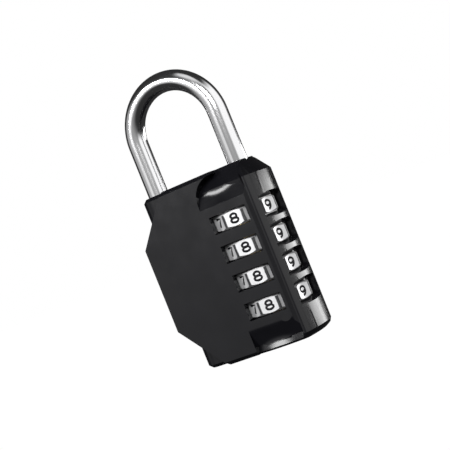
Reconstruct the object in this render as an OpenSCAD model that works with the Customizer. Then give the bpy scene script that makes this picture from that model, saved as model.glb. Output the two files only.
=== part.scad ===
// Four-dial combination padlock: die-cast body in two halves, hardened shackle,
// four numbered dials and the finned locking spindle inside them.
// Millimetres. +Z runs up the shackle legs, -Y is the front. The origin is the
// middle of the body's underside.

/* [Body] */
// Width of the body across the front
body_w = 39.5; // [36:0.5:48]
// Thickness of the body, front pad to rear pad
body_d = 20; // [20:0.5:26]
// Height of the body above the middle of the top dial
head_h = 14.47; // [13.5:0.01:26]
// Radius of the round column that holds the long leg
column_r = 5.0; // [4.6:0.1:6]
// Height of the flat left edge of the front plate
flank_h = 25; // [18:1:30]
// Slope of the plate's chamfered corners, height over width
corner_slope = 1.19; // [0.9:0.01:1.4]
// Bevel along the top and bottom edges of the plate
edge_bevel = 1.1; // [0.4:0.1:1.6]
// How far the barrel around the dials lies below the pad
barrel_step = 0.7; // [0.4:0.1:1.4]
// Corner radius of the barrel in plan
barrel_r = 2.3; // [1.5:0.1:3]
// Inset of the barrel's tapered shoulder at the top
shoulder_inset = 3.3; // [1:0.1:4]
// Height of the barrel's tapered shoulder
shoulder_h = 4.8; // [2:0.1:6]
// Height of the bare barrel above the pad
top_relief_h = 9.3; // [8:0.1:10]
// Height of the bare barrel below the pad
bottom_relief_h = 6.0; // [4:0.1:6.6]
// Height of the slope between the pad and each relief's floor
relief_slope = 3.2; // [1:0.1:3.5]
// Depth of the reliefs' floors below the pad
relief_depth = 1.3; // [0.9:0.1:1.6]
// Radius of the round end of the relief above the pad
relief_r = 6.9; // [4:0.1:7.5]
// Radius that rounds the pad's lower edge into its slope
relief_fillet = 1.5; // [0.5:0.1:2]

/* [Shackle] */
// Diameter of the shackle bar
bar_d = 6.0; // [5:0.1:6.4]
// Distance between the leg centres
leg_pitch = 28.0; // [26:0.1:30]
// Distance from the body's left side to the long leg's axis
leg_inset = 5.3; // [5.2:0.1:7]
// Height of the bend's crown above the body
shackle_rise = 32.3; // [26:0.1:50]
// Depth of the short leg's socket in the body
socket_depth = 4.7; // [4:0.1:5.2]
// Lift of the shackle when it opens
lift = 6.5; // [5.6:0.1:6.6]
// Height of the long leg's lower end above the body's underside
long_leg_end = 16; // [12:0.5:22]
// Radial clearance of the legs in the body
leg_clear = 0.08; // [0.05:0.01:0.15]
// Depth of the neck that the lift plate grips
neck_cut = 0.9; // [0.6:0.1:1.2]

/* [Dials] */
// Outer radius over the dial's ridges
dial_r = 9.8; // [9:0.1:9.85]
// Distance from the dial axis to the body's right side
dial_inset = 10.3; // [10.2:0.05:11]
// Height of one dial
dial_h = 4.7; // [4.2:0.1:4.8]
// Distance between neighbouring dials
dial_pitch = 8.63; // [8.4:0.01:9]
// Height of the lowest dial's middle above the underside
dial_base = 12.24; // [12:0.01:13]
// Radius of the hollow in each digit's facet
facet_r = 8.0; // [6:0.5:12]
// Angle of the digit in the window from straight ahead
index_angle = 6; // [0:1:12]
// Radius of the dial's bore
dial_bore_r = 5.6; // [5.5:0.05:5.8]
// Clearance around each dial in its slot
dial_clear = 0.15; // [0.1:0.01:0.2]
// Width of each front window
window_w = 11.85; // [11:0.05:12.4]
// Height of each front window
window_h = 5.1; // [5:0.05:5.4]
// Height of each side notch where it meets the surface
notch_h = 7.2; // [6:0.1:7.6]
// Half width of each side notch, front to back
notch_half = 7.1; // [6:0.1:7.4]

/* [Lock works] */
// Radius of the spindle's shaft
spindle_r = 1.9; // [1.7:0.05:2]
// Radius over the spindle's fins
fin_r = 3.9; // [3.4:0.1:3.9]
// Thickness of each fin
fin_w = 1.3; // [1:0.1:1.5]
// Height of each fin
fin_h = 2.0; // [1.6:0.1:2]
// Outer radius of the sleeve skirts
skirt_r = 5.0; // [4.9:0.05:5.1]
// Wall of the sleeve skirts
skirt_wall = 0.8; // [0.6:0.05:0.9]
// Height of the gated web in each sleeve
web_h = 3.8; // [3.4:0.1:4]
// Thickness of the lift plate
plate_t = 1.3; // [1:0.1:1.6]
// Running clearance between turning and sliding pieces
run_clear = 0.06; // [0.04:0.01:0.1]
// End gap between stacked pieces
end_gap = 0.1; // [0.06:0.01:0.2]
// Wire of the shackle spring
lift_wire = 0.7; // [0.5:0.05:0.8]
// Wire of the reset spring
reset_wire = 0.7; // [0.5:0.05:0.8]
// Radius of the assembly pins
pin_r = 1.2; // [1:0.1:1.4]
// Length of the assembly pins
pin_l = 9; // [7:0.5:12]
// Thickness of the detent comb's strip
comb_t = 0.4; // [0.3:0.05:0.5]

/* [Hidden] */

$fn = 96;
eps = 0.01;
far = 200;

dial_z = [for (i = [3:-1:0]) dial_base + i * dial_pitch];   // dial 1 is the top one
body_h = dial_z[0] + head_h;
half_w = body_w / 2;
half_d = body_d / 2;
bar_r = bar_d / 2;
floor_t = 1.6;                                  // body floor below the works
wall = 1.6;                                     // general wall of the castings

long_x = -half_w + leg_inset;                   // long leg's axis
short_x = long_x + leg_pitch;                   // short leg's axis
bend_r = leg_pitch / 2;                         // bend's centreline radius
bend_z = body_h + shackle_rise - bend_r - bar_r;
leg_hole_r = bar_r + leg_clear;
socket_z = body_h - socket_depth;               // floor of the short leg's socket
socket_gap = 0.2;                               // the leg's tip above that floor

dial_x = half_w - dial_inset;
slot_r = dial_r + dial_clear;
slot_h = dial_h + 2 * end_gap;
facets = 10;
facet_step = 360 / facets;
land_angle = 1.8;                               // half angle of the land on each ridge
facet_half = facet_step / 2 - land_angle;
facet_d = dial_r * cos(facet_half) + sqrt(pow(facet_r, 2) - pow(dial_r * sin(facet_half), 2));
dial_chamfer = 0.3;
notch_root = 7.5;                               // notch starts inside the slot
notch_mouth = notch_h + (notch_h - slot_h) / (dial_inset - notch_root);

pad_left = dial_x - 7.7;                        // left end of the reliefs
scoop_x = dial_x - 0.75;                        // crown line of the reliefs' floors
pad_right = dial_x + 6.85;                      // right end of the pad
relief_top = body_h - top_relief_h;             // pad's upper edge
relief_bottom = bottom_relief_h;                // pad's lower edge
foot_bevel = 1.7;                               // bevel around the barrel's foot
barrel_face_r = 30;                             // crown of the barrel's front
barrel_side_r = 26;                             // crown of the barrel's side
barrel_crown_x = dial_x + 1.5;
scoop_r = 30;                                   // crown of the reliefs' floors
barrel_y = half_d - barrel_step;

sleeve_r = dial_bore_r - run_clear;
web_drop = dial_h / 2;                          // web's underside below the dial's middle
skirt_bore = skirt_r - skirt_wall;
works_bore = skirt_r + 0.15;                    // body bore that the skirts turn in
key_r = dial_bore_r + 0.6;                      // tip of the sleeve's key
key_w = 1.6;
key_clear = 0.12;
gate_clear = 0.15;
fin_gap = 0.3;                                  // fin below its gate when locked

collar_r = 3.4;                                 // spindle collar under the lift plate
collar_z = dial_z[0] - web_drop + web_h + 0.25; // collar's underside
collar_h = 1.35;
plate_z = collar_z + collar_h;                  // lift plate's underside
tip_r = 1.3;                                    // spindle tip through the plate
clip_r = 2.3;
clip_t = 0.7;
spindle_end = 4.0;                              // spindle's lower end
neck_r = bar_r - neck_cut;
plate_half = 3.5;
cavity_half = plate_half + 0.2;
cavity_top = plate_z + plate_t + clip_t + lift + 0.6;

skirt_end = dial_z[3] - web_drop - 2.9;         // lower end of the lowest skirt
washer_t = 0.6;
washer_z = skirt_end - end_gap - washer_t;
bush_flange = 0.8;
bush_r = 2.6;
reset_coil_r = 3.6;
lift_coil_r = bar_r - lift_wire / 2 - 0.1;

comb_angle = index_angle + 7 * facet_step;      // comb presses on a facet's middle
comb_tip = slot_r;                              // finger tips clear the ridges
comb_back = comb_tip + 1.8;                     // strip's near face from the dial axis
comb_w = 4;
comb_low = dial_z[3] - 4;                       // ends of the strip
comb_high = plate_z - 0.6;

pin_places = [[-half_w + 14.2, 3.1], [-half_w + 14.2, plate_z - pin_r - 1.48],
              [half_w - 3.1, socket_z - 3.6], [half_w - 3.1, 4.4]];

// --- Outside of the body -------------------------------------------------------------

// Upright section through the thickness, bevelled at its four corners
function bevelled_section(half, bevel) = [
    [-half + bevel, 0], [half - bevel, 0], [half, bevel], [half, body_h - bevel],
    [half - bevel, body_h], [bevel - half, body_h], [-half, body_h - bevel], [-half, bevel]
];

// Outline of the plate side of the body, seen from the front
module plate_outline() {
    mid = body_h / 2;
    run = (mid - flank_h / 2) / corner_slope;
    polygon([
        [-half_w, mid - flank_h / 2], [-half_w, mid + flank_h / 2], [-half_w + run, body_h],
        [pad_right, body_h], [pad_right, 0], [-half_w + run, 0]
    ]);
}

// Cross-section of the barrel in plan, smaller by an inset
module barrel_plan(inset = 0) {
    side = half_w - inset;
    face = barrel_y - inset;
    intersection() {
        union() {
            translate([0, -face]) square([side - barrel_r, 2 * face]);
            translate([0, barrel_r - face]) square([side, 2 * (face - barrel_r)]);
            for (s = [-1, 1]) translate([side - barrel_r, s * (face - barrel_r)]) circle(barrel_r);
        }
        translate([side - barrel_side_r, 0]) circle(barrel_side_r, $fn = 200);
        for (s = [-1, 1])
            translate([barrel_crown_x, s * (barrel_face_r - face)]) circle(barrel_face_r, $fn = 200);
    }
}

// Barrel around the dials: bevelled foot, straight side, tapered shoulder
module barrel() {
    hull() {
        linear_extrude(eps) barrel_plan(foot_bevel);
        translate([0, 0, foot_bevel * 0.35]) linear_extrude(eps) barrel_plan(foot_bevel * 0.35);
        translate([0, 0, foot_bevel]) linear_extrude(body_h - shoulder_h - foot_bevel) barrel_plan();
        translate([0, 0, body_h - eps]) linear_extrude(eps) barrel_plan(shoulder_inset);
    }
}

// Flat plate and pad, bevelled along the top and bottom edges
module plate_block() {
    intersection() {
        rotate([90, 0, 0]) translate([0, 0, -half_d]) linear_extrude(body_d) plate_outline();
        rotate([90, 0, 90]) translate([0, 0, -half_w]) linear_extrude(body_w)
            polygon(bevelled_section(half_d, edge_bevel));
    }
}

// Round column around the long leg, with the slab that joins it to the plate
module column_block() {
    bevel = 1;
    translate([long_x, 0, 0]) {
        rotate_extrude() polygon([
            [0, 0], [column_r - bevel, 0], [column_r, bevel], [column_r, body_h - bevel],
            [column_r - bevel, body_h], [0, body_h]
        ]);
        rotate([90, 0, 90]) linear_extrude(pad_left - long_x + 1)
            polygon(bevelled_section(column_r, bevel));
    }
}

// Front outlines of the reliefs above and below the pad
module upper_relief_outline() {
    low = relief_top - 1;
    high = body_h - 0.8;
    intersection() {
        translate([pad_left, low]) square([pad_right - pad_left + 0.02, far]);
        union() {
            translate([pad_left + relief_r, high - relief_r]) circle(relief_r);
            translate([pad_left, low]) square([body_w, high - relief_r - low]);
            translate([pad_left + relief_r, low]) square([body_w, far]);
        }
    }
}

module lower_relief_outline() {
    corner = 2;
    high = relief_bottom + relief_fillet + corner;
    difference() {
        translate([pad_left, -1]) square([pad_right - pad_left + 0.02, high]);
        // round corner at the pad's lower right
        translate([pad_right - corner, high - 1]) circle(corner);
    }
}

// Side profile of a relief's slope, rising from the pad's edge at z = 0
module slope_profile(fillet) {
    arc = atan2(relief_depth, relief_slope);        // tilt of the slope from upright
    bend = fillet / tan(arc / 2) / 2;
    foot = relief_depth + 0.15;                     // runs on a little under the floor
    polygon(concat(
        [[half_d + 1, -fillet], [half_d + 1, far], [half_d - relief_depth - 5, far],
         [half_d - relief_depth - 5, foot / tan(arc)], [half_d - foot, foot / tan(arc)]],
        fillet > 0 ? [for (i = [6:-1:0]) [half_d - bend * (1 - cos(arc * i / 6)),
                                          bend * sin(arc * i / 6) - fillet]]
                   : [[half_d, 0]]
    ));
}

// Space in front of a crowned floor, given as [height, depth below the pad] going up
module floor_ring(floor) {
    last = len(floor) - 1;
    translate([scoop_x, scoop_r - half_d, 0]) rotate_extrude($fn = 240) polygon(concat(
        [for (p = floor) [scoop_r - p[1], p[0]]],
        [[scoop_r + 3, floor[last][0]], [scoop_r + 3, floor[0][0]]]
    ));
}

// Cuts above and below the pad on the front, with a slope from the pad to each floor
module reliefs() {
    intersection() {
        rotate([90, 0, 0]) linear_extrude(body_d) upper_relief_outline();
        translate([-half_w, 0, relief_top]) mirror([0, 1, 0]) rotate([90, 0, 90])
            linear_extrude(body_w) slope_profile(0);
        floor_ring([[relief_top - 1, relief_depth], [body_h - shoulder_h, relief_depth],
                    [body_h, relief_depth + shoulder_inset],
                    [body_h + 1, relief_depth + shoulder_inset]]);
    }
    intersection() {
        rotate([90, 0, 0]) linear_extrude(body_d) lower_relief_outline();
        translate([-half_w, 0, relief_bottom]) mirror([0, 0, 1]) mirror([0, 1, 0]) rotate([90, 0, 90])
            linear_extrude(body_w) slope_profile(relief_fillet);
        floor_ring([[-1, barrel_step + 1.6], [0.6, barrel_step],
                    [relief_bottom - relief_slope + 0.6, relief_depth + 0.15],
                    [relief_bottom + 2, relief_depth + 0.15]]);
    }
}

// Whole outside of the body, solid
module body_solid() {
    difference() {
        union() {
            barrel();
            column_block();
            plate_block();
        }
        reliefs();
        mirror([0, 1, 0]) reliefs();
    }
}

// --- Hollows in the body -------------------------------------------------------------

// Slot, front and rear windows and side notch of the dial whose middle is at z
module dial_hollow(z) {
    translate([dial_x, 0, z - slot_h / 2]) cylinder(h = slot_h, r = slot_r);
    translate([dial_x - window_w / 2, -half_d - 1, z - window_h / 2])
        cube([window_w, body_d + 2, window_h]);
    translate([dial_x, 0, z]) rotate([90, 0, 0]) translate([0, 0, -notch_half])
        linear_extrude(2 * notch_half) polygon([
            [notch_root, -slot_h / 2], [dial_inset + 1, -notch_mouth / 2],
            [dial_inset + 1, notch_mouth / 2], [notch_root, slot_h / 2]
        ]);
}

// Everything that is cast or drilled out of the two halves
module body_hollows() {
    for (z = dial_z) dial_hollow(z);
    translate([dial_x, 0, floor_t]) cylinder(h = cavity_top - floor_t, r = works_bore);
    // cavity that the lift plate rises in
    translate([long_x - 2.2, -cavity_half, plate_z - 0.3])
        cube([dial_x + clip_r + 0.4 - long_x + 2.2, 2 * cavity_half, cavity_top - plate_z + 0.3]);
    translate([long_x, 0, floor_t]) cylinder(h = body_h, r = leg_hole_r);
    translate([short_x, 0, socket_z]) cylinder(h = body_h, r = leg_hole_r);
    comb_hollow();
    casting_pocket();
    for (p = pin_places)
        translate([p[0], 0, p[1]]) rotate([90, 0, 0]) cylinder(h = pin_l + 0.4, r = pin_r + 0.01, center = true);
}

// Pocket that holds the detent comb on edge across both halves
module comb_hollow() {
    at_dial(comb_angle, comb_low - 0.1) {
        translate([comb_tip - 0.4, -comb_w / 2 - 0.1, 0])
            cube([comb_back - comb_tip + comb_t + 0.5, comb_w + 0.2, comb_high - comb_low + 0.2]);
    }
}

// Pocket that lightens the casting between the column and the dials
module casting_pocket() {
    left = long_x + column_r;
    right = pad_left - 5.2;
    translate([left, wall - half_d, pin_places[0][1] + pin_r + wall])
        cube([right - left, body_d - 2 * wall, pin_places[1][1] - pin_places[0][1] - 2 * (pin_r + wall)]);
}

// One half of the body; s is -1 for the front half and 1 for the rear
module shell(s) {
    difference() {
        intersection() {
            body_solid();
            translate([-body_w, s < 0 ? -body_d : 0, -1]) cube([2 * body_w, body_d, body_h + 2]);
        }
        body_hollows();
    }
}

module front_shell() {
    color("#2e2e32") shell(-1);
}

module rear_shell() {
    color("#2e2e32") shell(1);
}

module assembly_pins() {
    color("silver") for (p = pin_places)
        translate([p[0], 0, p[1]]) rotate([90, 0, 0]) cylinder(h = pin_l, r = pin_r, center = true);
}

// --- Shackle and lift ----------------------------------------------------------------

// A leg standing on its rounded tip, from z up to the bend
module leg(x, z) {
    tip = 0.8;
    translate([x, 0, z + tip]) cylinder(h = bend_z - z - tip, r = bar_r);
    translate([x, 0, z]) cylinder(h = tip, r1 = bar_r - tip, r2 = bar_r);
}

module shackle() {
    color("#d9dadc") difference() {
        union() {
            leg(long_x, long_leg_end);
            leg(short_x, socket_z + socket_gap);
            translate([long_x + bend_r, 0, bend_z]) rotate([90, 0, 0])
                rotate_extrude(angle = 180) translate([bend_r, 0]) circle(bar_r);
        }
        // neck gripped by the lift plate
        translate([long_x, 0, plate_z - end_gap]) difference() {
            cylinder(h = plate_t + 2 * end_gap, r = bar_r + 1);
            translate([0, 0, -1]) cylinder(h = plate_t + 2, r = neck_r);
        }
    }
}

// Stamped plate that carries the spindle up with the long leg
module lift_plate() {
    fork = 1.6;
    nose = 2.2;
    color("#b9b4a4") translate([0, 0, plate_z]) difference() {
        union() {
            translate([long_x - fork, -plate_half, 0])
                cube([dial_x - long_x + fork, 2 * plate_half, plate_t]);
            translate([dial_x, 0, 0]) cylinder(h = plate_t, r = nose);
        }
        translate([long_x, 0, -1]) cylinder(h = plate_t + 2, r = neck_r + run_clear);
        translate([long_x - fork - 1, -neck_r - run_clear, -1])
            cube([fork + 1, 2 * (neck_r + run_clear), plate_t + 2]);
        translate([dial_x, 0, -1]) cylinder(h = plate_t + 2, r = tip_r + run_clear);
        // corners cut back so that the right end follows the works bore
        for (s = [-1, 1]) translate([dial_x - 1, s * (plate_half + nose) - plate_half, -1])
            cube([far, 2 * plate_half, plate_t + 2]);
    }
}

// --- Springs -------------------------------------------------------------------------

// Helical wire from z = 0 to h, about +Z, with its ends closed
module coil_spring(r, wire, h, turns) {
    steps = 20;
    sides = 8;
    n = turns * steps;
    pitch = (h - wire) / turns;
    points = [for (i = [0:n], k = [0:sides - 1])
        let (t = i / steps * 360, a = k / sides * 360, q = r + wire / 2 * cos(a))
        [q * cos(t), q * sin(t), wire / 2 + pitch * i / steps + wire / 2 * sin(a)]];
    faces = [
        [for (k = [0:sides - 1]) k],
        for (i = [0:n - 1], k = [0:sides - 1])
            [i * sides + k, (i + 1) * sides + k, (i + 1) * sides + (k + 1) % sides, i * sides + (k + 1) % sides],
        [for (k = [sides - 1:-1:0]) n * sides + k]
    ];
    polyhedron(points, faces, convexity = 10);
}

module shackle_spring() {
    color("#9a9a9c") translate([long_x, 0, floor_t])
        coil_spring(lift_coil_r, lift_wire, long_leg_end - floor_t, 9);
}

module reset_spring() {
    low = floor_t + bush_flange;
    color("#9a9a9c") translate([dial_x, 0, low])
        coil_spring(reset_coil_r, reset_wire, washer_z - low, 3);
}

// --- Spindle and its fittings --------------------------------------------------------

module spindle() {
    chamfer = 0.5;
    color("#c4c4c6") translate([dial_x, 0, 0]) {
        translate([0, 0, spindle_end]) cylinder(h = chamfer, r1 = spindle_r - chamfer, r2 = spindle_r);
        translate([0, 0, spindle_end + chamfer])
            cylinder(h = collar_z - spindle_end - chamfer, r = spindle_r);
        translate([0, 0, collar_z]) cylinder(h = collar_h, r = collar_r);
        translate([0, 0, plate_z]) cylinder(h = plate_t + clip_t + 0.3, r = tip_r);
        for (z = dial_z) translate([0, -fin_w / 2, z - web_drop - fin_gap - fin_h])
            cube([fin_r, fin_w, fin_h]);
    }
}

// Push-on clip that keeps the lift plate on the spindle's tip
module spindle_clip() {
    color("#b9b4a4") translate([dial_x, 0, plate_z + plate_t]) difference() {
        cylinder(h = clip_t, r = clip_r);
        translate([0, 0, -1]) cylinder(h = clip_t + 2, r = tip_r + 0.01);
        for (a = [0:120:240]) rotate([0, 0, a]) translate([tip_r - 0.3, -0.25, -1])
            cube([0.9, 0.5, clip_t + 2]);
    }
}

// Flanged bush that guides the spindle's foot and seats the reset spring
module spindle_bush() {
    color("#b08d57") translate([dial_x, 0, floor_t]) difference() {
        union() {
            cylinder(h = bush_flange, r = works_bore - 0.05);
            cylinder(h = washer_z - floor_t - 0.6, r = bush_r);
        }
        translate([0, 0, -1]) cylinder(h = washer_z, r = spindle_r + run_clear);
    }
}

module spring_washer() {
    color("#9a9a9c") translate([dial_x, 0, washer_z]) difference() {
        cylinder(h = washer_t, r = skirt_r);
        translate([0, 0, -1]) cylinder(h = washer_t + 2, r = bush_r + 0.1);
    }
}

// --- Dials and code sleeves ----------------------------------------------------------

// Hollows of every other facet, from the first one given
module facet_cuts(first) {
    for (k = [first:2:facets - 1]) rotate([0, 0, index_angle + k * facet_step])
        translate([0, -facet_d, -1]) cylinder(h = dial_h + 2, r = facet_r);
}

// Ring with a keyway in its bore for each digit
module keyed_ring() {
    shoulder = dial_chamfer + 0.35;
    difference() {
        rotate_extrude() polygon([
            [dial_bore_r, 0], [dial_r - dial_chamfer - 0.9, 0], [dial_r, shoulder],
            [dial_r, dial_h - shoulder], [dial_r - dial_chamfer - 0.9, dial_h], [dial_bore_r, dial_h]
        ]);
        for (k = [0:facets - 1]) rotate([0, 0, index_angle + k * facet_step])
            translate([dial_bore_r - 0.7, -key_w / 2 - key_clear, -1])
                cube([key_r - dial_bore_r + 0.7 + key_clear, key_w + 2 * key_clear, dial_h + 2]);
    }
}

// One dial: ten hollow facets with narrow lands between them
module dial(n) {
    color("#c9c9cb") translate([dial_x, 0, dial_z[n - 1] - dial_h / 2]) difference() {
        difference() {
            keyed_ring();
            facet_cuts(0);
        }
        facet_cuts(1);
    }
}

module dial_1() { dial(1); }
module dial_2() { dial(2); }
module dial_3() { dial(3); }
module dial_4() { dial(4); }

// Gated web inside the dial, with the skirt that stands on the next sleeve
module sleeve(n) {
    low = dial_z[n - 1] - web_drop;
    skirt_low = n < len(dial_z) ? dial_z[n] - web_drop + web_h + end_gap : skirt_end;
    color("#b08d57") translate([dial_x, 0, low]) difference() {
        union() {
            cylinder(h = web_h, r = sleeve_r);
            translate([0, 0, skirt_low - low]) cylinder(h = low - skirt_low + eps, r = skirt_r);
            rotate([0, 0, index_angle]) translate([0, -key_w / 2, 0]) cube([key_r, key_w, web_h]);
        }
        translate([0, 0, -1]) cylinder(h = web_h + 2, r = spindle_r + run_clear);
        translate([0, 0, skirt_low - low - 1]) cylinder(h = low - skirt_low + 1, r = skirt_bore);
        translate([0, -fin_w / 2 - gate_clear, -1])
            cube([fin_r + gate_clear, fin_w + 2 * gate_clear, web_h + 2]);
    }
}

module sleeve_1() { sleeve(1); }
module sleeve_2() { sleeve(2); }
module sleeve_3() { sleeve(3); }
module sleeve_4() { sleeve(4); }

// Leaf comb: one strip with a bowed finger for each dial
module detent_comb() {
    rise = comb_back - comb_tip;
    color("#a8a294") at_dial(comb_angle, 0) {
        translate([comb_back, -comb_w / 2, comb_low]) cube([comb_t, comb_w, comb_high - comb_low]);
        for (z = dial_z) translate([comb_tip + 0.05, 0, z]) rotate([90, 0, 0])
            translate([0, 0, -comb_w / 2 + 0.5]) linear_extrude(comb_w - 1) polygon([
                [0, -0.4], [0, 0.4], [rise + comb_t / 2, 2.0], [rise + comb_t / 2, 2.0 - comb_t * 1.6],
                [comb_t, 0.1], [comb_t, -0.1],
                [rise + comb_t / 2, -2.0 + comb_t * 1.6], [rise + comb_t / 2, -2.0]
            ]);
    }
}

// Places its children about the dial axis: 0 is straight ahead, positive to the right
module at_dial(angle, z) {
    translate([dial_x, 0, z]) rotate([0, 0, angle - 90]) children();
}

front_shell();
rear_shell();
assembly_pins();
shackle();
lift_plate();
shackle_spring();
spindle();
spindle_clip();
spindle_bush();
reset_spring();
spring_washer();
dial_1();
dial_2();
dial_3();
dial_4();
sleeve_1();
sleeve_2();
sleeve_3();
sleeve_4();
detent_comb();
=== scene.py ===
"""Looks of a four-dial combination padlock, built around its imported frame.

Units are metres. +Z runs up the shackle legs and -Y is the front of the lock.
"""
from __future__ import annotations

import logging
import math
from collections.abc import Iterable
from dataclasses import dataclass
from enum import Enum

import bmesh
import bpy
from mathutils import Matrix, Vector


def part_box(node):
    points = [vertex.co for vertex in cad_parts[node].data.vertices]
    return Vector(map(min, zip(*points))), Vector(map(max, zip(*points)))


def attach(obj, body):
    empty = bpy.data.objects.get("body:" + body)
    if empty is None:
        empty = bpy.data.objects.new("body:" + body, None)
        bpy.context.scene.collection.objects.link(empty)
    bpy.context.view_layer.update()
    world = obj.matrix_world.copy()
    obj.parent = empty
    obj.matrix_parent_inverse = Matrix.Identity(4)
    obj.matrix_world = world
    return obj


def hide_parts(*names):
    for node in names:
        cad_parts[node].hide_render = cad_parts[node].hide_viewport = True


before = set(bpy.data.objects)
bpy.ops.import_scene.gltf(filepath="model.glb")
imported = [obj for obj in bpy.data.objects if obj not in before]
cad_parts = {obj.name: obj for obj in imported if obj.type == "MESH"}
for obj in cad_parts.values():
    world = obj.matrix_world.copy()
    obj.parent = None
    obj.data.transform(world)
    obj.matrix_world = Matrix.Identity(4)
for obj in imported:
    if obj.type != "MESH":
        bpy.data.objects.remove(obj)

MM = 0.001
BUMP = 0.01 * MM
WHITE = (1.0, 1.0, 1.0, 1.0)
LOG = logging.getLogger("padlock")


# --- Material tools ------------------------------------------------------------------


class Tree:
    """Short hand for building a node tree of shader nodes."""

    def __init__(self, tree: bpy.types.NodeTree) -> None:
        """Empties a node tree for building.

        Args:
            tree: the node tree of a material or of the world.
        """
        self.nodes = tree.nodes
        self.links = tree.links
        self.nodes.clear()

    def add(self, kind: str, **inputs: object) -> bpy.types.Node:
        """Adds a node and sets or links its inputs.

        Args:
            kind: the node's type name, without the ShaderNode prefix.
            inputs: values or sockets, by the input's name or as i and its number; with a
                leading underscore, the node's own properties.

        Returns:
            The new node.
        """
        node = self.nodes.new("ShaderNode" + kind)
        for key, value in inputs.items():
            if key.startswith("_"):
                setattr(node, key[1:], value)
        for key, value in inputs.items():
            if not key.startswith("_"):
                numbered = key[0] == "i" and key[1:].isdigit()
                self.feed(node.inputs[int(key[1:]) if numbered else key.replace("_", " ")], value)
        return node

    def feed(self, socket: bpy.types.NodeSocket, value: object) -> None:
        """Links a socket to another, or sets its value.

        Args:
            socket: the input to fill.
            value: the output that it takes, or a plain value.
        """
        if isinstance(value, bpy.types.NodeSocket):
            self.links.new(value, socket)
        else:
            socket.default_value = value

    def math(self, operation: str, a: object, b: object = 0.0) -> bpy.types.NodeSocket:
        """Adds a Math node and returns its result."""
        return self.add("Math", _operation=operation, i0=a, i1=b).outputs[0]

    def ramp(self, value: object, low: float, high: float, to_low: float = 0.0,
             to_high: float = 1.0) -> bpy.types.NodeSocket:
        """Maps a value from one range to another, clamped, and returns the result."""
        return self.add("MapRange", i0=value, i1=low, i2=high, i3=to_low, i4=to_high).outputs[0]

    def mix(self, factor: object, a: object, b: object) -> bpy.types.NodeSocket:
        """Mixes two colours by a factor and returns the colour."""
        return self.add("Mix", _data_type="RGBA", i0=factor, i6=a, i7=b).outputs[2]

    def by_camera(self, others: bpy.types.Node, camera: bpy.types.Node) -> bpy.types.NodeSocket:
        """Adds a shader that only the camera sees, and another one for all else.

        Args:
            others: the shader that lights the lock and shows in its reflections.
            camera: the shader that the camera sees.

        Returns:
            The mixed shader.
        """
        seen = self.add("LightPath").outputs["Is Camera Ray"]
        return self.add("MixShader", i0=seen, i1=others.outputs[0],
                        i2=camera.outputs[0]).outputs[0]


class MaterialTree(Tree):
    """Node tree of one material, laid out on the piece's own coordinates."""

    def __init__(self, name: str) -> None:
        """Starts an empty material with an output node.

        Args:
            name: the material's name.
        """
        self.material = bpy.data.materials.new(name)
        self.material.use_nodes = True
        super().__init__(self.material.node_tree)
        self.output = self.nodes.new("ShaderNodeOutputMaterial")
        self.coords = self.nodes.new("ShaderNodeTexCoord").outputs["Object"]

    def noise(self, scale: float, detail: float = 4.0) -> bpy.types.NodeSocket:
        """Adds a noise texture and returns its factor."""
        return self.add("TexNoise", Vector=self.coords, Scale=scale, Detail=detail).outputs["Fac"]

    def grain(self, scale: tuple) -> bpy.types.NodeSocket:
        """Adds a noise texture that is drawn out by a scale for each axis."""
        along = self.add("Mapping", Vector=self.coords, Scale=scale).outputs[0]
        return self.add("TexNoise", Vector=along, Scale=1.0, Detail=3.0).outputs["Fac"]

    def spread(self, noise: object, low: float, high: float) -> bpy.types.NodeSocket:
        """Spreads the middle of a noise over a range and returns the result."""
        return self.ramp(noise, 0.3, 0.7, low, high)

    def bump(self, height: object, strength: float) -> bpy.types.NodeSocket:
        """Adds a Bump node a hundredth of a millimetre deep and returns its normal."""
        return self.add("Bump", Strength=strength, Distance=BUMP, Height=height).outputs[0]

    def surface(self, **inputs: object) -> bpy.types.Material:
        """Ends the tree in a Principled shader and returns the material."""
        return self.close(self.add("BsdfPrincipled", **inputs).outputs[0])

    def close(self, shader: bpy.types.NodeSocket) -> bpy.types.Material:
        """Links a shader to the output and returns the material."""
        self.links.new(shader, self.output.inputs["Surface"])
        return self.material


def shade(color: tuple, factor: float) -> tuple:
    """Returns a colour with its channels scaled."""
    return tuple(c * factor for c in color[:3]) + (1.0,)


@dataclass(frozen=True)
class BlackCasting:
    """Gloss black paint over a zinc die casting."""

    name: str = "black_casting"
    color: tuple = (0.0035, 0.0035, 0.0045, 1.0)
    rough: float = 0.20
    peel: float = 0.10
    gloss: float = 0.35

    def build(self) -> bpy.types.Material:
        """Builds the paint with a faint orange peel and uneven gloss.

        Returns:
            The material.
        """
        t = MaterialTree(self.name)
        cloud = t.noise(180.0)
        fine = t.noise(2600.0, 2.0)
        rough = t.spread(cloud, self.rough - 0.03, self.rough + 0.04)
        tint = t.mix(cloud, self.color, shade(self.color, 1.4))
        return t.surface(Base_Color=tint, Roughness=rough, Specular_IOR_Level=self.gloss,
                         Normal=t.bump(fine, self.peel))


@dataclass(frozen=True)
class PlatedMetal:
    """Bright plated metal with drawn lines along one direction."""

    name: str
    color: tuple
    rough: float = 0.25
    grain: tuple = (900.0, 900.0, 60.0)
    streak: float = 0.06
    relief: float = 0.05

    def build(self) -> bpy.types.Material:
        """Builds the metal with streaks in its gloss and a trace of tarnish.

        Returns:
            The material.
        """
        t = MaterialTree(self.name)
        lines = t.grain(self.grain)
        tint = t.mix(t.noise(90.0), self.color, shade(self.color, 0.92))
        return t.surface(Base_Color=tint, Metallic=1.0,
                         Roughness=t.spread(lines, self.rough, self.rough + self.streak),
                         Normal=t.bump(lines, self.relief))


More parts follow.
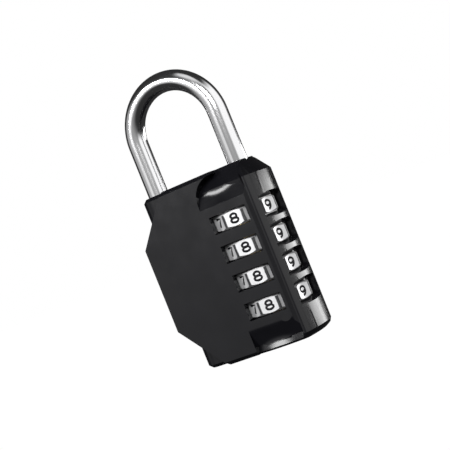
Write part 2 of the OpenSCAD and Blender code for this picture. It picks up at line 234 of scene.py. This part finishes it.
@dataclass(frozen=True)
class DialMetal:
    """Nickel-plated dial with bright hollows and painted shade on its ridges, coloured black as
    their shadow and dark reflection.
    """

    axis_x: float
    # Painted shade: past this radius from the axis the dial is coloured black, standing in for
    # the ridges' shadow and dark reflection; the fade softens its border and a noisy jitter
    # roughens it.
    ridge_r: float = 9.74 * MM
    ridge_fade: float = 0.07 * MM
    ridge_shade_jitter: float = 0.04 * MM
    name: str = "dial_metal"
    color: tuple = (0.70, 0.70, 0.71, 1.0)
    # Colour of the painted shade on the ridges.
    ridge_shade_color: tuple = (0.012, 0.012, 0.014, 1.0)
    grain: tuple = (300.0, 300.0, 5000.0)
    rough: tuple = (0.36, 0.46)
    metallic: float = 0.4

    def build(self) -> bpy.types.Material:
        """Builds nickel in the hollows that turns black on the ridges, as painted shade.

        Returns:
            The material.
        """
        t = MaterialTree(self.name)
        x, y, _ = t.add("SeparateXYZ", Vector=t.coords).outputs
        off = t.math("SUBTRACT", x, self.axis_x)
        radius = t.math("SQRT", t.math("ADD", t.math("MULTIPLY", off, off),
                                       t.math("MULTIPLY", y, y)))
        # Painted shade: black on the ridges past a radius, with a noisy border; the metal turns
        # non-metallic there.
        ridge_shade_jitter = t.spread(t.noise(700.0, 3.0), -self.ridge_shade_jitter, self.ridge_shade_jitter)
        ridge_shade_mask = t.ramp(t.math("ADD", radius, ridge_shade_jitter), self.ridge_r - self.ridge_fade, self.ridge_r)
        lines = t.grain(self.grain)
        tint = t.mix(t.noise(260.0), self.color, shade(self.color, 0.85))
        return t.surface(Base_Color=t.mix(ridge_shade_mask, tint, self.ridge_shade_color),
                         Metallic=t.ramp(ridge_shade_mask, 0.0, 1.0, self.metallic, 0.0),
                         Roughness=t.spread(lines, *self.rough),
                         Normal=t.bump(lines, 0.08))


@dataclass(frozen=True)
class NumeralPaint:
    """Matt black paint filled into the numerals."""

    name: str = "numeral_paint"
    color: tuple = (0.006, 0.006, 0.007, 1.0)
    gloss: float = 0.15

    def build(self) -> bpy.types.Material:
        """Builds the paint with a grainy, slightly uneven surface.

        Returns:
            The material.
        """
        t = MaterialTree(self.name)
        grain = t.noise(5200.0, 3.0)
        tint = t.mix(grain, self.color, shade(self.color, 2.0))
        return t.surface(Base_Color=tint, Roughness=t.spread(grain, 0.5, 0.65),
                         Specular_IOR_Level=self.gloss, Normal=t.bump(grain, 0.2))


# --- Mesh tools ----------------------------------------------------------------------


def new_object(name: str, mesh: bpy.types.Mesh) -> bpy.types.Object:
    """Links a mesh into the scene as an object at the origin.

    Args:
        name: the object's name.
        mesh: its mesh, already in place.

    Returns:
        The object.
    """
    obj = bpy.data.objects.new(name, mesh)
    bpy.context.scene.collection.objects.link(obj)
    return obj


def baked(obj: bpy.types.Object, name: str) -> bpy.types.Object:
    """Turns an object's evaluated shape into a plain mesh object and drops the old one.

    Args:
        obj: object with live modifiers.
        name: the plain object's name.

    Returns:
        The new object, without modifiers.
    """
    graph = bpy.context.evaluated_depsgraph_get()
    mesh = bpy.data.meshes.new_from_object(obj.evaluated_get(graph), depsgraph=graph)
    mesh.name = name
    old = obj.data
    bpy.data.objects.remove(obj)
    if old.users == 0:
        bpy.data.meshes.remove(old)
    return new_object(name, mesh)


def polyline(name: str, paths: list[list[tuple]], closed: list[bool]) -> bpy.types.Mesh:
    """Makes a mesh of bare edges along several paths.

    Args:
        name: the mesh's name.
        paths: the points of each path.
        closed: whether each path returns to its start.

    Returns:
        The edge mesh.
    """
    verts, edges = [], []
    for path, loop in zip(paths, closed):
        first = len(verts)
        verts += [tuple(p) for p in path]
        edges += [(first + i, first + i + 1) for i in range(len(path) - 1)]
        if loop:
            edges.append((len(verts) - 1, first))
    mesh = bpy.data.meshes.new(name)
    mesh.from_pydata(verts, edges, [])
    return mesh


class Section(Enum):
    """The sections that are swept along a line."""

    ROUND_BAR = "round_bar"
    FLAT_STRIP = "flat_strip"


class Sweep:
    """Geometry Nodes tree that sweeps a section along the edges of a mesh."""

    def __init__(self, name: str, section_kind: Section) -> None:
        """Builds the tree.

        Args:
            name: the tree's name.
            section_kind: a round bar, as thick as the line's "bulk" says, or a flat strip.
        """
        self.tree = bpy.data.node_groups.new(name, "GeometryNodeTree")
        self.sockets: dict[str, str] = {}
        self._socket("Geometry", "NodeSocketGeometry", "INPUT")
        for label, kind in (("Width", "NodeSocketFloat"), ("Thickness", "NodeSocketFloat"),
                            ("Sides", "NodeSocketInt"), ("Finish", "NodeSocketMaterial")):
            self._socket(label, kind, "INPUT")
        self._socket("Geometry", "NodeSocketGeometry", "OUTPUT")
        nodes, links = self.tree.nodes, self.tree.links
        given = nodes.new("NodeGroupInput").outputs
        result = nodes.new("NodeGroupOutput").inputs
        curve = nodes.new("GeometryNodeMeshToCurve")
        links.new(given["Geometry"], curve.inputs[0])
        line = curve.outputs[0]
        swept = nodes.new("GeometryNodeCurveToMesh")
        swept.inputs["Fill Caps"].default_value = True
        if section_kind is Section.ROUND_BAR:
            bulk = nodes.new("GeometryNodeInputNamedAttribute")
            bulk.data_type = "FLOAT"
            bulk.inputs["Name"].default_value = "bulk"
            links.new(bulk.outputs["Attribute"], swept.inputs["Scale"])
            section = nodes.new("GeometryNodeCurvePrimitiveCircle")
            links.new(given["Sides"], section.inputs["Resolution"])
            links.new(given["Width"], section.inputs["Radius"])
        else:
            normal = nodes.new("GeometryNodeSetCurveNormal")
            links.new(line, normal.inputs["Curve"])
            normal.mode = "Z_UP"
            line = normal.outputs[0]
            section = nodes.new("GeometryNodeCurvePrimitiveQuadrilateral")
            links.new(given["Width"], section.inputs["Width"])
            links.new(given["Thickness"], section.inputs["Height"])
        links.new(line, swept.inputs["Curve"])
        links.new(section.outputs["Curve"], swept.inputs["Profile Curve"])
        real = nodes.new("GeometryNodeRealizeInstances")
        links.new(swept.outputs[0], real.inputs[0])
        finish = nodes.new("GeometryNodeSetMaterial")
        links.new(real.outputs[0], finish.inputs["Geometry"])
        links.new(given["Finish"], finish.inputs["Material"])
        links.new(finish.outputs[0], result[0])

    def _socket(self, label: str, kind: str, way: str) -> None:
        """Adds a named socket to the tree's interface.

        Args:
            label: the socket's name.
            kind: its type.
            way: INPUT or OUTPUT; an input's identifier is kept for setting it.
        """
        item = self.tree.interface.new_socket(name=label, in_out=way, socket_type=kind)
        if way == "INPUT":
            self.sockets[label] = item.identifier

    def run(self, name: str, mesh: bpy.types.Mesh, **values: object) -> bpy.types.Object:
        """Sweeps one mesh and returns the plain result.

        Args:
            name: the result's name.
            mesh: edges to follow.
            values: the tree's inputs by name.

        Returns:
            The swept object.
        """
        obj = new_object(name, mesh)
        modifier = obj.modifiers.new("sweep", "NODES")
        modifier.node_group = self.tree
        for label, value in values.items():
            modifier[self.sockets[label]] = value
        return baked(obj, name)


# --- The lock's pieces ---------------------------------------------------------------


def dress(nodes: Iterable[str], material: bpy.types.Material) -> None:
    """Puts one material on all slots of some CAD nodes.

    Args:
        nodes: the nodes' names.
        material: their finish.
    """
    for node in nodes:
        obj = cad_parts[node]
        if not obj.material_slots:
            obj.data.materials.append(material)
        for slot in obj.material_slots:
            slot.material = material


@dataclass
class Casting:
    """The two halves of the painted body, with their edges rounded."""

    finish: bpy.types.Material
    shell_nodes: tuple = ("front_shell", "rear_shell")
    # Rounding of the outer edges, of the edges round the openings and of the seam.
    edge: float = 0.32 * MM
    fine_edge: float = 0.12 * MM
    seam: float = 0.10 * MM
    edge_steps: int = 3
    sharp: float = math.radians(12.0)
    # Fillet at the foot of the moulded hollows' slopes, and the folds that it is put on.
    foot: float = 1.0 * MM
    foot_steps: int = 6
    foot_folds: tuple = (-45.0, -14.0)
    foot_right: float = 17 * MM
    foot_front: float = 7.6 * MM
    foot_gap: float = 3 * MM
    # Space of the works, whose edges stay sharp, past the stack of dials.
    works_left: float = 0.3 * MM
    works_right: float = 0.2 * MM
    works_half: float = 7 * MM
    works_below: float = 9 * MM
    works_above: float = 11 * MM
    # Region of the windows and notches, past the stack of dials, and its long pad edges.
    opening_left: float = 0.6 * MM
    opening_gap: float = 2 * MM
    pad_edge_least: float = 20 * MM
    # Rim of the short leg's socket, which stays sharp.
    socket_x: float = 13.55 * MM
    socket_reach: float = 3.8 * MM
    # Foot of the small step beside the dial pad, and how far it is drawn out to a slope.
    step_x: float = 16.30 * MM
    step_y: float = 9.30 * MM
    step_run: float = 0.95 * MM
    # Distance and angle for merging the node's loose triangles; places closer are the same.
    merge: float = 0.002 * MM
    flat: float = math.radians(0.4)
    same: float = 0.001 * MM

    def _weight(self, edge: bmesh.types.BMEdge, stack: tuple) -> float:
        """Returns how far one sharp edge is rounded, as a share of the widest rounding.

        Args:
            edge: a sharp edge of one half.
            stack: lowest and highest corners of the stack of dials.

        Returns:
            A share from 0 to 1; edges inside the works stay sharp.
        """
        a, b = edge.verts[0].co, edge.verts[1].co
        middle = (a + b) / 2
        (left, _, bottom), (right, _, top) = stack
        if (left - self.works_left < middle.x < right + self.works_right
                and abs(middle.y) < self.works_half
                and bottom - self.works_below < middle.z < top + self.works_above):
            return 0.0
        if abs(a.y) < self.same and abs(b.y) < self.same:
            return self.seam / self.edge
        if middle.z > top and math.hypot(middle.x - self.socket_x, middle.y) < self.socket_reach:
            return 0.0
        if (left - self.opening_left < middle.x
                and bottom - self.opening_gap < middle.z < top + self.opening_gap):
            return 1.0 if abs(a.z - b.z) > self.pad_edge_least else self.fine_edge / self.edge
        return 1.0

    def _at_foot(self, edge: bmesh.types.BMEdge, stack: tuple) -> bool:
        """Tells whether an edge is the hollow crease where a relief's slope meets its floor.

        Args:
            edge: an edge of one half.
            stack: lowest and highest corners of the stack of dials.

        Returns:
            True for such a crease, above or below the windows.
        """
        if not edge.is_manifold:
            return False
        fold = math.degrees(edge.calc_face_angle_signed(0.0))
        middle = (edge.verts[0].co + edge.verts[1].co) / 2
        (left, _, bottom), (_, _, top) = stack
        return (self.foot_folds[0] < fold < self.foot_folds[1]
                and left < middle.x < self.foot_right and abs(middle.y) > self.foot_front
                and not bottom - self.foot_gap < middle.z < top + self.foot_gap)

    def _shape(self, mesh: bpy.types.Mesh, stack: tuple) -> None:
        """Merges one half's mesh, eases its hollow folds and weights its sharp edges.

        Args:
            mesh: a copy of the half's CAD mesh.
            stack: lowest and highest corners of the stack of dials.
        """
        bm = bmesh.new()
        bm.from_mesh(mesh)
        bmesh.ops.remove_doubles(bm, verts=bm.verts, dist=self.merge)
        bmesh.ops.dissolve_limit(bm, angle_limit=self.flat, verts=bm.verts, edges=bm.edges)
        for vert in bm.verts:
            x, y, _ = vert.co
            if abs(x - self.step_x) < self.fine_edge and abs(abs(y) - self.step_y) < self.same:
                vert.co.x += self.step_run
        feet = [e for e in bm.edges if self._at_foot(e, stack)]
        bmesh.ops.bevel(bm, geom=feet, offset=self.foot, segments=self.foot_steps, profile=0.5,
                        affect="EDGES", clamp_overlap=False)
        layer = bm.edges.layers.float.new("bevel_weight_edge")
        for edge in bm.edges:
            sharp = edge.is_manifold and edge.calc_face_angle(0.0) > self.sharp
            edge.smooth = not sharp
            if sharp:
                edge[layer] = self._weight(edge, stack)
        for face in bm.faces:
            face.smooth = True
        bm.to_mesh(mesh)
        bm.free()

    def build(self) -> None:
        """Makes both halves, each riding on the case in place of its CAD node."""
        stack = (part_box("dial_4")[0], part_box("dial_1")[1])
        for node in self.shell_nodes:
            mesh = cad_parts[node].data.copy()
            mesh.name = node + "_detail"
            self._shape(mesh, stack)
            mesh.materials.clear()
            mesh.materials.append(self.finish)
            obj = new_object(node + "_detail", mesh)
            bevel = obj.modifiers.new("edges", "BEVEL")
            bevel.width = self.edge
            bevel.segments = self.edge_steps
            bevel.limit_method = "WEIGHT"
            bevel.use_clamp_overlap = True
            bevel.harden_normals = True
            piece = baked(obj, node + "_detail")
            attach(piece, "case")
            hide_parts(node)
            dress([node], self.finish)
            LOG.info("%s: %d faces", node, len(piece.data.polygons))


@dataclass
class Shackle:
    """Chromed round bar, bent over the body, with a neck for the lift plate."""

    finish: bpy.types.Material
    long_x: float = -14.45 * MM
    short_x: float = 13.55 * MM
    bar_r: float = 2.99 * MM
    neck_r: float = 2.1 * MM
    bend_z: float = 67.9 * MM
    tip: float = 0.8 * MM
    neck_low: float = 41.08 * MM
    neck_high: float = 42.58 * MM
    short_end: float = 48.1 * MM
    shoulder: float = 0.01 * MM
    sides: int = 72
    tip_steps: int = 6
    bend_steps: int = 64
    crease: float = math.radians(30.0)

    def _tip(self, z: float) -> list[tuple]:
        """Rounds a leg's end, from the tip upwards.

        Args:
            z: the height of the tip.

        Returns:
            Pairs of a height and the bar's radius there.
        """
        rows = []
        for i in range(self.tip_steps + 1):
            turn = math.pi / 2 * i / self.tip_steps
            rows.append((z + self.tip * (1 - math.cos(turn)),
                         self.bar_r - self.tip * (1 - math.sin(turn))))
        return rows

    def build(self) -> None:
        """Sweeps the bar from one tip to the other, in place of its CAD node."""
        rows = self._tip(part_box("shackle")[0][2])
        rows += [(self.neck_low - self.shoulder, self.bar_r), (self.neck_low, self.neck_r),
                 (self.neck_high, self.neck_r), (self.neck_high + self.shoulder, self.bar_r)]
        points = [((self.long_x, 0.0, z), r) for z, r in rows]
        centre = (self.long_x + self.short_x) / 2
        bend_r = (self.short_x - self.long_x) / 2
        turns = [math.pi * i / self.bend_steps for i in range(self.bend_steps + 1)]
        points += [((centre - bend_r * math.cos(turn), 0.0,
                     self.bend_z + bend_r * math.sin(turn)), self.bar_r) for turn in turns]
        points += [((self.short_x, 0.0, z), r) for z, r in reversed(self._tip(self.short_end))]
        mesh = polyline("shackle_line", [[p for p, _ in points]], [False])
        bulk = mesh.attributes.new("bulk", "FLOAT", "POINT")
        for i, (_, r) in enumerate(points):
            bulk.data[i].value = r
        piece = Sweep("round_bar", Section.ROUND_BAR).run(
            "shackle_bar", mesh, Width=1.0, Sides=self.sides, Finish=self.finish)
        for polygon in piece.data.polygons:
            polygon.use_smooth = True
        piece.data.set_sharp_from_angle(angle=self.crease)
        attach(piece, "shackle")
        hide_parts("shackle")
        dress(["shackle"], self.finish)
        LOG.info("shackle: %d faces", len(piece.data.polygons))


@dataclass
class Dials:
    """The four dials, with black numerals standing proud in their hollow facets."""

    metal: bpy.types.Material
    paint: bpy.types.Material
    dial_nodes: tuple = ("dial_1", "dial_2", "dial_3", "dial_4")
    order: tuple = (8, 6, 9, 0, 1, 2, 3, 4, 5, 7)
    index_angle: float = math.radians(6.0)
    dial_r: float = 9.8 * MM
    facet_r: float = 8.0 * MM
    land: float = math.radians(1.8)
    half_w: float = 1.14 * MM
    half_h: float = 1.24 * MM
    width: float = 0.66 * MM
    proud: float = 0.025 * MM
    sunk: float = 0.10 * MM

    def _arc(self, cx: float, cy: float, rx: float, ry: float, start: float,
             end: float) -> list[tuple]:
        """Returns points along an ellipse, in shares of the numeral's half size.

        Args:
            cx, cy: the ellipse's middle.
            rx, ry: its half width and half height.
            start, end: degrees from the right, counter-clockwise.

        Returns:
            The points, about one for each 10 degrees.
        """
        count = max(3, int(abs(end - start) / 10))
        turns = [math.radians(start + (end - start) * i / count) for i in range(count + 1)]
        return [(cx + rx * math.cos(a), cy + ry * math.sin(a)) for a in turns]

    def _strokes(self, digit: int) -> tuple[list[list[tuple]], list[bool]]:
        """Draws one numeral.

        Args:
            digit: the number, 0 to 9.

        Returns:
            Its strokes, and whether each one is a closed loop.
        """
        arc = self._arc
        full = (0, 350)  # the loop's last edge closes it
        shapes = {
            0: ([arc(0, 0, 0.92, 1, *full)], [True]),
            1: ([[(-0.55, 0.55), (0.1, 1), (0.1, -1)]], [False]),
            2: ([arc(0, 0.45, 0.88, 0.55, 165, -40) + [(-0.9, -1), (0.95, -1)]], [False]),
            3: ([arc(0, 0.48, 0.8, 0.52, 150, -75), arc(0, -0.46, 0.92, 0.54, 75, -155)],
                [False, False]),
            4: ([[(0.4, -1), (0.4, 1), (-0.95, -0.42), (1, -0.42)]], [False]),
            5: ([[(0.8, 1), (-0.65, 1), (-0.78, 0.1)] + arc(0, -0.36, 0.9, 0.64, 132, -150)],
                [False]),
            6: ([arc(0, -0.38, 0.9, 0.62, *full), arc(0.25, -0.2, 1.15, 1.2, 180, 88)],
                [True, False]),
            7: ([[(-0.9, 1), (0.9, 1), (0.3, 0.2), (-0.2, -1)]], [False]),
            8: ([arc(0, 0.49, 0.8, 0.51, *full), arc(0, -0.48, 0.96, 0.52, *full)],
                [True, True]),
            9: ([arc(0, 0.38, 0.9, 0.62, *full), arc(-0.25, 0.2, 1.15, 1.2, 0, -92)],
                [True, False]),
        }
        return shapes[digit]

    def build(self) -> None:
        """Sweeps each numeral flat, wraps it into its facet and joins them for each dial."""
        sweep = Sweep("numeral_strokes", Section.FLAT_STRIP)
        half_step = math.pi / len(self.order) - self.land
        axis_out = self.dial_r * math.cos(half_step) + math.sqrt(
            self.facet_r ** 2 - (self.dial_r * math.sin(half_step)) ** 2)
        middle = (self.proud - self.sunk) / 2
        flats = []
        for digit in self.order:
            paths, loops = self._strokes(digit)
            mesh = polyline("stroke", [[(x * self.half_w, y * self.half_h, 0.0) for x, y in p]
                                       for p in paths], loops)
            flats.append(sweep.run("stroke", mesh, Width=self.width,
                                   Thickness=self.proud + self.sunk, Finish=self.paint))
        for node in self.dial_nodes:
            low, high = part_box(node)
            centre = [(a + b) / 2 for a, b in zip(low, high)]
            bm = bmesh.new()
            for spot, flat in enumerate(flats):
                angle = self.index_angle + spot * math.tau / len(self.order)
                out = Vector((math.sin(angle), -math.cos(angle), 0.0))
                along = Vector((math.cos(angle), math.sin(angle), 0.0))
                first = len(bm.verts)
                bm.from_mesh(flat.data)
                bm.verts.ensure_lookup_table()
                for vert in bm.verts[first:]:
                    u, v, w = vert.co
                    reach = axis_out - math.sqrt(self.facet_r ** 2 - u * u) + w + middle
                    vert.co = (Vector((centre[0], centre[1], centre[2] + v)) + out * reach
                               + along * u)
            bmesh.ops.recalc_face_normals(bm, faces=bm.faces)
            mesh = bpy.data.meshes.new(node + "_numerals")
            bm.to_mesh(mesh)
            bm.free()
            mesh.materials.append(self.paint)
            piece = new_object(node + "_numerals", mesh)
            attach(piece, node)
            LOG.info("%s: %d faces", piece.name, len(mesh.polygons))
        for flat in flats:
            bpy.data.objects.remove(flat)
        dress(self.dial_nodes, self.metal)


@dataclass
class Works:
    """The pieces inside the body, which keep their CAD shape and get their finish."""

    brass: bpy.types.Material
    steel: bpy.types.Material
    zinc: bpy.types.Material
    brass_nodes: tuple = ("sleeve_1", "sleeve_2", "sleeve_3", "sleeve_4", "spindle_bush")
    steel_nodes: tuple = ("assembly_pins", "shackle_spring", "spindle", "reset_spring",
                          "spring_washer")
    zinc_nodes: tuple = ("lift_plate", "spindle_clip", "detent_comb")

    def build(self) -> None:
        """Dresses the turned, drawn and stamped pieces."""
        dress(self.brass_nodes, self.brass)
        dress(self.steel_nodes, self.steel)
        dress(self.zinc_nodes, self.zinc)
        LOG.info("works: %d pieces", len(self.brass_nodes + self.steel_nodes + self.zinc_nodes))


# --- Room ----------------------------------------------------------------------------


@dataclass(frozen=True)
class Panel:
    """One soft patch of the surroundings, as the surfaces see it.

    Its sides are bearings from straight ahead of the lock, positive to its right, and heights
    above the horizon, in degrees. The last value is how soft its borders are.
    """

    left: float
    right: float
    low: float
    high: float
    glow: float
    soft: float


@dataclass(frozen=True)
class Lamp:
    """One soft rectangular light that faces the lock.

    Its bearing and rise are in degrees, as a panel's are, and its reach is the distance from
    the camera's target.
    """

    name: str
    bearing: float
    rise: float
    size: tuple
    glow: float
    reach: float = 0.5


@dataclass
class Studio:
    """Pale floor, soft lights and the camera."""

    target: tuple = (2.15 * MM, 0.0, 37.26 * MM)
    yaw: float = math.radians(28.0)
    roll: float = math.radians(22.0)
    distance: float = 357 * MM
    lens: float = 100.0
    floor_size: float = 4.0
    dim: float = 0.03
    panels: tuple = (
        Panel(-48.0, -16.0, -10.0, 28.0, 0.70, 6.0),
        Panel(-84.0, -48.0, -10.0, 28.0, 0.40, 6.0),
        Panel(-16.0, 52.0, -16.0, 30.0, 0.33, 12.0),
        Panel(52.0, 132.0, -12.0, 45.0, 1.1, 8.0),
        Panel(-5.0, 60.0, 45.0, 80.0, 0.8, 10.0),
    )
    lamps: tuple = (
        Lamp("recess_light", -27.0, 20.0, (0.24, 0.13), 26.0, 0.6),
        Lamp("side_band", 149.0, -5.0, (0.26, 0.13), 7.0),
        Lamp("window_key", 20.0, 24.0, (0.16, 0.16), 25.0),
    )

    def camera(self) -> None:
        """Places the camera level with the lock, to its right, and rolled."""
        data = bpy.data.cameras.new("camera")
        data.lens = self.lens
        data.sensor_width = 36.0
        data.clip_start = 0.01
        data.clip_end = 20.0
        camera = bpy.data.objects.new("camera", data)
        bpy.context.scene.collection.objects.link(camera)
        back = Vector((math.sin(self.yaw), -math.cos(self.yaw), 0.0))
        side = Vector((math.cos(self.yaw), math.sin(self.yaw), 0.0))
        up = Vector((0.0, 0.0, 1.0))
        right = side * math.cos(self.roll) - up * math.sin(self.roll)
        top = up * math.cos(self.roll) + side * math.sin(self.roll)
        place = Matrix((right, top, back)).transposed().to_4x4()
        place.translation = Vector(self.target) + back * self.distance
        camera.matrix_world = place
        bpy.context.scene.camera = camera
        bpy.context.scene.view_settings.view_transform = "Standard"

    def floor(self) -> None:
        """Makes the plain white floor."""
        half = self.floor_size / 2
        mesh = bpy.data.meshes.new("floor")
        mesh.from_pydata([(-half, -half, 0), (half, -half, 0), (half, half, 0), (-half, half, 0)],
                         [], [(0, 1, 2, 3)])
        obj = new_object("floor", mesh)
        tree = MaterialTree("floor_white")
        tint = tree.mix(tree.noise(3.0), WHITE, shade(WHITE, 1.02))
        plain = tree.add("Emission", Color=tint, Strength=1.0)
        clear = tree.add("BsdfTransparent")
        mesh.materials.append(tree.close(tree.by_camera(clear, plain)))

    def world(self) -> None:
        """Makes the surroundings: plain white behind the lock, soft panels around it."""
        world = bpy.data.worlds.new("surroundings")
        bpy.context.scene.world = world
        world.use_nodes = True
        t = Tree(world.node_tree)
        ray = t.add("TexCoord").outputs["Generated"]
        x, y, z = t.add("SeparateXYZ", Vector=ray).outputs
        bearing = t.math("DEGREES", t.math("ARCTAN2", x, t.math("MULTIPLY", y, -1.0)))
        rise = t.math("DEGREES", t.math("ARCSINE", z))
        total = self.dim
        for p in self.panels:
            patch = t.math("MULTIPLY", t.ramp(bearing, p.left - p.soft, p.left + p.soft),
                           t.ramp(bearing, p.right + p.soft, p.right - p.soft))
            patch = t.math("MULTIPLY", patch, t.ramp(rise, p.low - p.soft, p.low + p.soft))
            patch = t.math("MULTIPLY", patch, t.ramp(rise, p.high + p.soft, p.high - p.soft))
            total = t.math("ADD", total, t.math("MULTIPLY", patch, p.glow))
        lit = t.add("Background", Color=WHITE, Strength=total)
        plain = t.add("Background", Color=WHITE, Strength=1.0)
        t.add("OutputWorld", Surface=t.by_camera(lit, plain))

    def light(self, lamp: Lamp) -> None:
        """Adds one light, which the camera doesn't see.

        Args:
            lamp: its place, size and brightness.
        """
        data = bpy.data.lights.new(lamp.name, "AREA")
        data.shape = "RECTANGLE"
        data.size, data.size_y = lamp.size
        data.energy = lamp.glow * math.pi * lamp.size[0] * lamp.size[1]
        obj = bpy.data.objects.new(lamp.name, data)
        bpy.context.scene.collection.objects.link(obj)
        angle, up = math.radians(lamp.bearing), math.radians(lamp.rise)
        offset = Vector((math.sin(angle) * math.cos(up), -math.cos(angle) * math.cos(up),
                         math.sin(up))) * lamp.reach
        obj.location = Vector(self.target) + offset
        obj.visible_camera = False
        obj.rotation_euler = offset.to_track_quat("Z", "Y").to_euler()

    def build(self) -> None:
        """Makes the whole room."""
        self.camera()
        self.floor()
        self.world()
        for lamp in self.lamps:
            self.light(lamp)
        LOG.info("studio built")


def main() -> None:
    """Builds the room and the lock, piece by piece."""
    logging.basicConfig(level=logging.INFO, format="%(name)s: %(message)s")
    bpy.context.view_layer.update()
    Studio().build()
    chrome = PlatedMetal("shackle_chrome", (0.88, 0.88, 0.89, 1.0), rough=0.12, streak=0.04,
                         relief=0.012)
    brass = PlatedMetal("brass", (0.69, 0.52, 0.26, 1.0))
    steel = PlatedMetal("steel", (0.55, 0.55, 0.56, 1.0))
    zinc = PlatedMetal("yellow_zinc", (0.60, 0.52, 0.30, 1.0), rough=0.28,
                       grain=(40.0, 40.0, 40.0), streak=0.12)
    low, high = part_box("dial_1")
    nickel = DialMetal(axis_x=(low[0] + high[0]) / 2)
    Casting(BlackCasting().build()).build()
    Shackle(chrome.build()).build()
    Dials(nickel.build(), NumeralPaint().build()).build()
    Works(brass.build(), steel.build(), zinc.build()).build()


if __name__ == "__main__":
    main()
